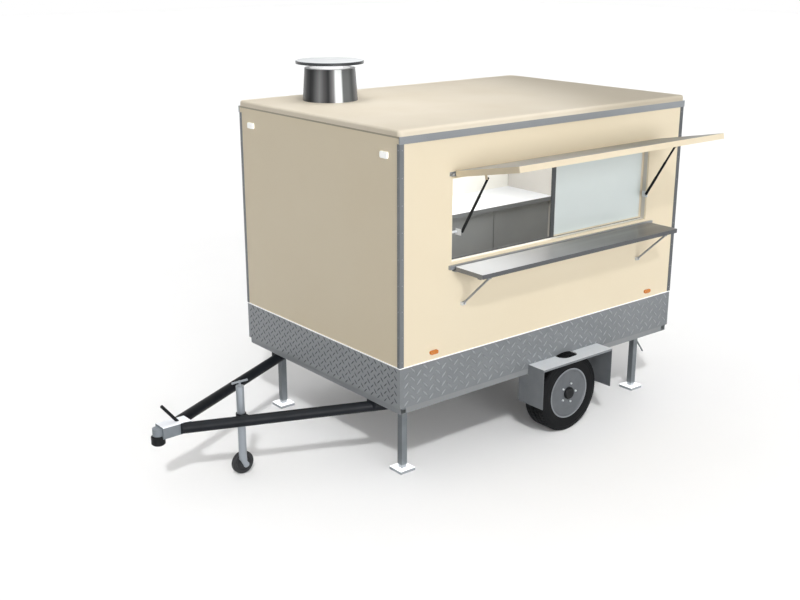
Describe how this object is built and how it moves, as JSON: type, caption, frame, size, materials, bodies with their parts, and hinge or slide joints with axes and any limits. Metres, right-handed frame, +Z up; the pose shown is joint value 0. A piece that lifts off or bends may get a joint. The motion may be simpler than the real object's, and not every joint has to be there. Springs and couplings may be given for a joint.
{
  "type": "kitchen trailer",
  "caption": "Single-axle kitchen trailer with a top-hinged serving hatch, fold-down shelf, drawbar with ball coupling and corner steadies.",
  "frame": {"origin": "centre of the tow ball socket in the coupling head", "axes": "+X towards the rear, +Z up, -Y towards the serving side, which is the left side in the travel direction"},
  "size_m": [4.454, 2.8262, 2.875],
  "materials": {
    "panel_cream": "satin cream enamel",
    "roof_cream": "satin off-white enamel",
    "tread_plate": "rolled tread plate",
    "trim_aluminium": "brushed extrusion",
    "frame_grey": "zinc-grey satin",
    "drawbar_black": "black satin",
    "coupler_steel": "zinc plated",
    "fitting_black": "black",
    "tyre_rubber": "black rubber",
    "rim_steel": "grey wheel paint",
    "hub_dark": "black cap",
    "guard_steel": "grey sheet steel",
    "floor_ply": "sealed plywood",
    "stainless": "brushed",
    "polished": "polished",
    "window_glass": "clear",
    "worktop_white": "white laminate",
    "cabinet_grey": "grey satin",
    "lamp_white": "clear lens",
    "lamp_orange": "orange lens",
    "lamp_red": "red lens",
    "zinc_steel": "zinc plated"
  },
  "bodies": {
    "trailer": {"long_rails": "frame_grey", "end_rails": "frame_grey", "cross_members": "frame_grey", "drawbar_tubes": "drawbar_black", "coupling_head": "coupler_steel", "coupling_fittings": "fitting_black", "jockey_clamp": "drawbar_black", "steady_legs": "frame_grey", "axle_beam": "frame_grey", "swing_arms": "frame_grey", "mudguard_ends": "guard_steel", "mudguard_tops": "guard_steel", "floor": "floor_ply", "front_wall": "panel_cream", "serving_wall": "panel_cream", "off_side_wall": "panel_cream", "rear_wall": "panel_cream", "roof": "roof_cream", "tread_skirt": "tread_plate", "corner_trims": "trim_aluminium", "eave_trims": "trim_aluminium", "hatch_hinge_bar": "trim_aluminium", "stay_brackets": "zinc_steel", "shelf_rail": "trim_aluminium", "window_frame": "trim_aluminium", "window_sashes": "trim_aluminium", "window_panes": "window_glass", "worktop": "worktop_white", "counter_cabinet": "cabinet_grey", "door_hinge_frames": "stainless", "roof_vent": "polished", "vent_cap": "polished", "front_lamps": "lamp_white", "rear_lamps": "lamp_red", "side_markers": "lamp_orange"},
    "wheel_left": {"rim_left": "rim_steel", "tyre_left": "tyre_rubber", "hub_left": "hub_dark"},
    "wheel_right": {"rim_right": "rim_steel", "tyre_right": "tyre_rubber", "hub_right": "hub_dark"},
    "jockey_leg": {"jockey_tube": "zinc_steel"},
    "jockey_caster": {"jockey_fork": "zinc_steel"},
    "jockey_roller": {"jockey_wheel": "fitting_black"},
    "steady_front_left": {"foot_front_left": "zinc_steel"},
    "steady_front_right": {"foot_front_right": "zinc_steel"},
    "steady_rear_left": {"foot_rear_left": "zinc_steel"},
    "steady_rear_right": {"foot_rear_right": "zinc_steel"},
    "hatch": {"hatch_flap": "panel_cream"},
    "stays_outer": {"stay_tubes": "fitting_black"},
    "stays_middle": {"stay_sleeves": "fitting_black"},
    "stays_inner": {"stay_rods": "fitting_black"},
    "shelf": {"serving_shelf": "stainless"},
    "shelf_struts": {"shelf_braces": "zinc_steel"},
    "door": {"rear_door": "panel_cream", "door_fittings": "stainless"}
  },
  "joints": [
    {"name": "wheel_left_spin", "type": "hinge", "parent": "trailer", "child": "wheel_left", "pos_m": [3.05225, -1, -0.095], "axis": [0, 1, 0], "continuous": true},
    {"name": "wheel_right_spin", "type": "hinge", "parent": "trailer", "child": "wheel_right", "pos_m": [3.05225, 1, -0.095], "axis": [0, 1, 0], "continuous": true},
    {"name": "jockey_lift", "type": "slide", "parent": "trailer", "child": "jockey_leg", "axis": [0, 0, 1], "range_m": [0, 0.24]},
    {"name": "jockey_swivel", "type": "hinge", "parent": "jockey_leg", "child": "jockey_caster", "pos_m": [0.588, -0.14993, -0.326], "axis": [0, 0, 1], "continuous": true},
    {"name": "jockey_spin", "type": "hinge", "parent": "jockey_caster", "child": "jockey_roller", "pos_m": [0.614, -0.09592, -0.326], "axis": [0, 1, 0], "continuous": true},
    {"name": "steady_front_left_slide", "type": "slide", "parent": "trailer", "child": "steady_front_left", "axis": [0, 0, 1], "range_m": [-0.15, 0.02]},
    {"name": "steady_front_right_slide", "type": "slide", "parent": "trailer", "child": "steady_front_right", "axis": [0, 0, 1], "range_m": [-0.15, 0.02]},
    {"name": "steady_rear_left_slide", "type": "slide", "parent": "trailer", "child": "steady_rear_left", "axis": [0, 0, 1], "range_m": [-0.15, 0.02]},
    {"name": "steady_rear_right_slide", "type": "slide", "parent": "trailer", "child": "steady_rear_right", "axis": [0, 0, 1], "range_m": [-0.15, 0.02]},
    {"name": "hatch_hinge", "type": "hinge", "parent": "trailer", "child": "hatch", "pos_m": [1.376, -1.022, 1.81], "axis": [1, 0, 0], "range_deg": [0, 101]},
    {"name": "stay_swing", "type": "hinge", "parent": "trailer", "child": "stays_outer", "pos_m": [1.376, -1.024, 1.394], "axis": [1, 0, 0], "range_deg": [-32.05, 0]},
    {"name": "stay_middle_slide", "type": "slide", "parent": "stays_outer", "child": "stays_middle", "axis": [0, -0.5137, 0.8579], "range_m": [-0.1507, 0]},
    {"name": "stay_inner_slide", "type": "slide", "parent": "stays_middle", "child": "stays_inner", "axis": [0, -0.5137, 0.8579], "range_m": [-0.14554, 0]},
    {"name": "shelf_fold", "type": "hinge", "parent": "trailer", "child": "shelf", "pos_m": [1.376, -1.035, 1.124], "axis": [1, 0, 0], "range_deg": [0, 90]},
    {"name": "strut_swing", "type": "hinge", "parent": "trailer", "child": "shelf_struts", "pos_m": [1.376, -1.014, 0.862], "axis": [1, 0, 0], "range_deg": [0, 133.25]},
    {"name": "door_hinge", "type": "hinge", "parent": "trailer", "child": "door", "pos_m": [4.373, 0.25, 0.238], "axis": [0, 0, 1], "range_deg": [0, 110]}
  ],
  "couplings": [
    {"joint": "stay_swing", "follows": "hatch_hinge", "ratio": -0.31683},
    {"joint": "stay_middle_slide", "follows": "hatch_hinge", "m_per_rad": -0.085433},
    {"joint": "stay_inner_slide", "follows": "hatch_hinge", "m_per_rad": -0.082504},
    {"joint": "strut_swing", "follows": "shelf_fold", "ratio": 1.48}
  ]
}
